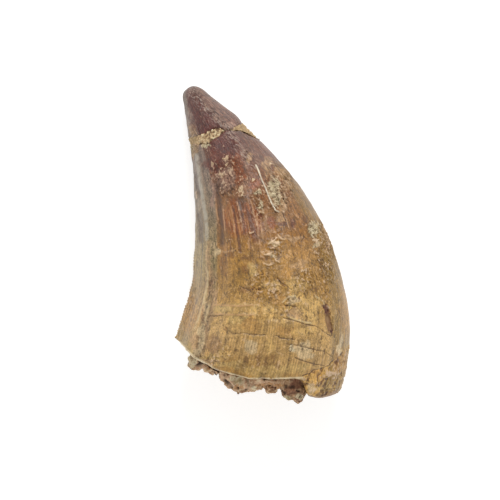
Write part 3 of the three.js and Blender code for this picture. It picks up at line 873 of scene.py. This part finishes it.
def enamel(name):
    """Satin enamel: deep warm colour under a soft highlight, dull where it is worn."""
    material, tree, spot = new_material(name)
    value = {key: add(tree, "Attribute", {"attribute_name": key}).outputs["Fac"]
             for key in ("share", "depth", "relief", *(line[0] for line in LINES), *MARK_NAMES)}
    drum = add(tree, "Attribute", {"attribute_name": "growth"}).outputs["Vector"]
    runs = {
        "even": spot,
        "growth": add(tree, "Mapping", {}, {"Vector": drum, "Scale": (1, 1, 0.05)}).outputs["Vector"],
        "drawn": add(tree, "Mapping", {}, {"Vector": drum, "Scale": (1, 1, 0.5)}).outputs["Vector"],
        "slant": add(tree, "Mapping", {"vector_type": "TEXTURE"}, {
            "Vector": spot, "Rotation": (0, 0, math.pi / 4), "Scale": (1, 6, 1)}).outputs["Vector"],
    }
    for key, (size, detail, warp, run) in TEXTURES.items():
        value[key] = add(tree, "TexNoise", {}, {
            "Vector": runs[run], "Scale": 1 / size if run in ("growth", "drawn") else 1 / (size * MM),
            "Detail": detail, "Roughness": 0.6, "Distortion": warp}).outputs["Fac"]

    # where along the growth, with blotches that push the borders to and fro
    push = add(tree, "MapRange", {}, {"Value": value["blotch"], "To Min": -0.09, "To Max": 0.09})
    at = add(tree, "Math", {}, {0: value["share"], 1: push.outputs["Result"]}).outputs["Value"]
    colour = add(tree, "ValToRGB", {}, {"Fac": at}, RAMP).outputs["Color"]
    side = add(tree, "ValToRGB", {}, {"Fac": at}, FLANK).outputs["Color"]
    colour = add(tree, "MixRGB", {}, {
        "Fac": value["flank"], "Color1": colour, "Color2": side}).outputs["Color"]

    # stains with ragged edges
    for key, tint, cover in LAYERS:
        ragged = add(tree, "Math", {}, {0: value[key], 1: value["mottle"]}).outputs["Value"]
        colour = lay(tree, colour, linear(tint), ragged, 0.7, 1.3, cover)
    # mottling at every size
    tone = 1.0
    for key, (usual, mark, there) in STRENGTHS.items():
        strength = add(tree, "MapRange", {}, {
            "Value": value[mark], "To Min": usual, "To Max": there})
        swing = add(tree, "Math", {"operation": "SUBTRACT"}, {0: value[key], 1: 0.5}).outputs["Value"]
        tone = add(tree, "Math", {"operation": "MULTIPLY_ADD"},
                   {0: swing, 1: strength.outputs["Result"], 2: tone}).outputs["Value"]
    tone = add(tree, "Math", {"operation": "MAXIMUM"}, {0: tone, 1: DARKEST}).outputs["Value"]
    colour = add(tree, "VectorMath", {"operation": "SCALE"}, {
        "Vector": colour, "Scale": tone}).outputs["Vector"]
    # dark and golden striae and a comb of fine growth lines, where they are strong
    value["waves"] = add(tree, "TexWave", {}, {
        "Vector": runs["growth"], "Scale": 2 * math.pi / (20 * COMB), "Distortion": 5.0, "Detail": 2.0,
        "Detail Scale": 0.6}).outputs["Fac"]
    for key, mark, low, high, tint, cover in THREADS:
        colour = lay(tree, colour, linear(tint), value[key], low, high, cover, value[mark])
    # painted highlight on the crests and painted shade in the hollows, broken into specks
    broken = add(tree, "MapRange", {}, {
        "Value": value["speck"], "To Min": -2.8, "To Max": 2.8}).outputs["Result"]
    relief_light_and_shade = add(tree, "Math", {}, {0: value["relief"], 1: broken}).outputs["Value"]
    colour = lay(tree, colour, linear("#d2b292"), relief_light_and_shade, 0.5, 1.5, 0.75)
    colour = lay(tree, colour, linear("#8f6850"), relief_light_and_shade, -0.6, -1.8, 0.75, None, "MULTIPLY")
    # painted highlight: broken glints along the middle ridge
    colour = lay(tree, colour, linear("#c9b5a6"), value["streak"], 0.5, 0.62, 0.55, value["ridge"])
    # pale chips that stick to the skin
    ragged = add(tree, "Math", {}, {0: value["chip"], 1: value["speck"]}).outputs["Value"]
    flakes = add(tree, "ValToRGB", {}, {"Fac": value["dust"]}, FLAKES).outputs["Color"]
    colour = lay(tree, colour, flakes, ragged, 0.85, 1.2, 0.8)
    # sand crusts, in grains
    grains = add(tree, "Math", {}, {0: value["dust"], 1: value["speck"]}).outputs["Value"]
    sand = add(tree, "ValToRGB", {}, {"Fac": grains}, CRUST).outputs["Color"]
    ragged = add(tree, "Math", {}, {0: value["grit"], 1: value["speck"]}).outputs["Value"]
    colour = lay(tree, colour, sand, ragged, 0.7, 1.4, 0.75)
    # the lip's rim, the ledge, the cracks and the other lines, with painted highlight along the carina's
    # shoulders
    broken = add(tree, "MapRange", {}, {
        "Value": value["mottle"], "From Min": 0.3, "From Max": 0.5}).outputs["Result"]
    for key, wide, tint, cover in LINES:
        colour = lay(tree, colour, linear(tint), value[key], wide, wide * 0.4, cover, broken)
    # dentine where the enamel is cut through
    layers = add(tree, "Math", {"operation": "MULTIPLY"}, {0: value["depth"], 1: 0.9}).outputs["Value"]
    layers = add(tree, "Math", {"operation": "ADD"}, {0: layers, 1: value["mottle"]}).outputs["Value"]
    layers = add(tree, "Math", {"operation": "FRACT"}, {0: layers}).outputs["Value"]
    dentine = add(tree, "ValToRGB", {}, {"Fac": layers}, DENTINE).outputs["Color"]
    cut = add(tree, "MapRange", {}, {
        "Value": value["depth"], "From Min": 0.55, "From Max": 0.8}).outputs["Result"]
    colour = add(tree, "MixRGB", {}, {
        "Fac": cut, "Color1": colour, "Color2": dentine}).outputs["Color"]

    matt = add(tree, "Math", {"operation": "MAXIMUM"}, {0: value["rough"], 1: value["grit"]}).outputs["Value"]
    matt = add(tree, "Math", {"operation": "MAXIMUM"}, {0: matt, 1: cut}).outputs["Value"]
    gloss = add(tree, "MapRange", {}, {"Value": matt, "To Min": 0.38, "To Max": 0.62}).outputs["Result"]
    # grain finer than the net, as bump in mm
    high = add(tree, "MapRange", {}, {
        "Value": value["rough"], "To Min": 0.1, "To Max": 0.4}).outputs["Result"]
    grain = add(tree, "Math", {"operation": "MULTIPLY"}, {0: high, 1: value["speck"]}).outputs["Value"]
    threads = add(tree, "Math", {"operation": "MULTIPLY_ADD"}, {0: value["fibre"], 1: 0.09, 2: grain})
    bump = add(tree, "Bump", {}, {"Distance": MM, "Height": threads.outputs["Value"]}).outputs["Normal"]
    shader = add(tree, "BsdfPrincipled", {}, {"Base Color": colour, "Roughness": gloss, "IOR": 1.55,
                                              "Normal": bump})
    add(tree, "OutputMaterial", {}, {"Surface": shader.outputs["BSDF"]})
    return material


for piece, node, slot in ((crown, "crown", "enamel"), (tip, "crown_tip", "tip_enamel")):
    piece.data.materials.append(enamel("fossil_enamel_" + node))
    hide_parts(node)
    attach(piece, "root")
    print(piece.name, "wears", piece.data.materials[0].name)

# %% [markdown]
# ## Sand and crumbs
#
# Resin dries clear, so the eye sees the sand itself: matt grains, with a highlight
# painted where they stand out and shade painted between. The base is the same idea
# with more colours in it, cream bone, pink and rusty phosphate, and pores with their
# shadow painted in. One recipe with other colours and another size makes both.

# %% Glued sand and crumbly matrix
GRAIN = 0.35  # width of a sand grain, in mm
GRAIN_DEPTH = 0.25 * MM  # how far a grain stands out in the bump


def crumbly(name, colours, size, hollow, tints=()):
    """Matt grains with no gloss: a highlight is painted on their tops and shade between them."""
    material, tree, spot = new_material(name)
    mottle, speck = (add(tree, "TexNoise", {}, {
        "Vector": spot, "Scale": 1 / (wide * MM), "Detail": 5.0, "Roughness": 0.7,
    }).outputs["Fac"] for wide in (size, GRAIN))
    colour = add(tree, "ValToRGB", {}, {"Fac": mottle}, colours).outputs["Color"]
    for key, tint in tints:
        mark = add(tree, "Attribute", {"attribute_name": key}).outputs["Fac"]
        ragged = add(tree, "Math", {}, {0: mark, 1: mottle}).outputs["Value"]
        colour = lay(tree, colour, linear(tint), ragged, 0.7, 1.3, 0.75)
    grey = add(tree, "MapRange", {}, {"Value": speck, "From Min": 0.3, "From Max": 0.7}).outputs["Result"]
    colour = add(tree, "MixRGB", {"blend_type": "OVERLAY"},
                 {"Fac": 0.5, "Color1": colour, "Color2": grey}).outputs["Color"]
    relief = add(tree, "Attribute", {"attribute_name": "relief"}).outputs["Fac"]
    # painted highlight on the grains that stand out and painted shade in the hollows between them
    colour = lay(tree, colour, linear("#ecd9b0"), relief, 0.7, 1.4, 0.5)
    colour = lay(tree, colour, linear(hollow), relief, 0.2, -0.6, 0.85)
    bump = add(tree, "Bump", {}, {"Distance": GRAIN_DEPTH, "Height": speck}).outputs["Normal"]
    shader = add(tree, "BsdfPrincipled", {}, {"Base Color": colour, "Roughness": 0.8, "Normal": bump})
    add(tree, "OutputMaterial", {}, {"Surface": shader.outputs["BSDF"]})
    return material


store(filler, "relief", maps[filler.name][1] / 0.4)
store(filler, "ends", maps[filler.name][2])
store(matrix, "relief", 0.4 + maps[matrix.name][1] / 0.5)
co = maps[matrix.name][0]
on_top = smooth(normals_of(matrix.data)[:, 2], -0.1, 0.4) * smooth(co[:, 2], 6.0, 10.0)
for i, (name, marks) in enumerate(BASE_MARKS.items()):
    own = smooth(ovals(frayed(co, 0.3, 0.9), marks), 0.3, 0.65) * on_top
    scattered = smooth(swell(co, 3.0, 50 + 9 * i), 0.3, 0.5) * (1 - on_top)
    store(matrix, name, own + scattered * (name in ("cream", "pink", "rust")))
# the hole tint is painted shadow in the carved holes
BASE_TINTS = [("pink", "#e3be98"), ("rust", "#ba8652"), ("red", "#7d4c34"), ("cream", "#dfd0aa"),
              ("olive", "#b09a6e"), ("hole", "#2e1b12")]
SAND = [(0.34, "#93704e"), (0.5, "#c9aa80"), (0.66, "#ecd9b0")]
CRUMBS = [(0.34, "#6a4733"), (0.42, "#a07857"), (0.54, "#c8a27a"), (0.66, "#f0dfbc")]
filler.data.materials.append(crumbly("glued_sand", SAND, 0.6, "#6a4e35", [("ends", "#b3966a")]))
matrix.data.materials.append(crumbly("phosphate_matrix", CRUMBS, 1.3, "#3a241b", BASE_TINTS))
for piece, node, slot in ((filler, "break_filler", "sand_filler"), (matrix, "base_matrix", "matrix")):
    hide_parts(node)
    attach(piece, "root")
    print(piece.name, "wears", piece.data.materials[0].name)

for piece in (crown, tip, filler, matrix):
    for polygon in piece.data.polygons:
        polygon.use_smooth = True

# %% [markdown]
# ## Studio
#
# The tooth lies on a plain pale table under one large soft lamp, with a bright
# room around it, and the camera looks straight down on it.

# %% Floor, light and camera
work = bmesh.new()
bmesh.ops.create_grid(work, x_segments=1, y_segments=1, size=2.0)
floor_mesh = bpy.data.meshes.new("floor")
work.to_mesh(floor_mesh)
work.free()
floor = put("floor", floor_mesh)
table = bpy.data.materials.new("pale_table")
table.use_nodes = True
paint = table.node_tree.nodes["Principled BSDF"].inputs
for name, value in {"Base Color": linear("#c9c9c7"), "Roughness": 0.9, "Specular IOR Level": 0.2,
                    "Emission Color": linear("#ffffff"), "Emission Strength": 0.68}.items():
    paint[name].default_value = value
floor_mesh.materials.append(table)

world = bpy.data.worlds.new("room")
bpy.context.scene.world = world
world.use_nodes = True
sky = world.node_tree
sky.nodes.clear()
ray = add(sky, "TexCoord").outputs["Generated"]
height = add(sky, "SeparateXYZ", {}, {"Vector": ray}).outputs["Z"]
glow = add(sky, "MapRange", {}, {"Value": height, "To Min": 1.2, "To Max": 0.35}).outputs["Result"]
room = add(sky, "Background", {}, {"Color": linear("#ffffff"), "Strength": glow})
add(sky, "OutputWorld", {}, {"Surface": room.outputs["Background"]})


def soft_lamp(name, spot, size, power):
    """A round lamp, size metres wide, that faces the middle of the table."""
    lamp = bpy.data.lights.new(name, "AREA")
    lamp.shape = "DISK"
    lamp.size = size
    lamp.energy = power
    holder = put(name, lamp)
    holder.location = spot
    aim = np.array(spot) * -1
    holder.rotation_euler = (math.atan2(math.hypot(aim[0], aim[1]), -aim[2]), 0,
                             math.atan2(aim[1], aim[0]) - math.pi / 2)


soft_lamp("key", (0.05, 0.5, 0.42), 0.24, 2.0)

CAMERA_HEIGHT = 0.7
VIEW_WIDTH = 90 * MM  # what the square picture takes in, at the height of the tooth's edge
EDGE_HEIGHT = 9.5 * MM
camera = put("camera", bpy.data.cameras.new("camera"))
camera.location = (-2.34 * MM, -1.17 * MM, CAMERA_HEIGHT + EDGE_HEIGHT)
camera.data.lens = camera.data.sensor_width * CAMERA_HEIGHT / VIEW_WIDTH
camera.data.clip_end = 10
bpy.context.scene.camera = camera
bpy.context.scene.view_settings.view_transform = "Standard"
print("the camera takes in", round(VIEW_WIDTH / MM), "mm")
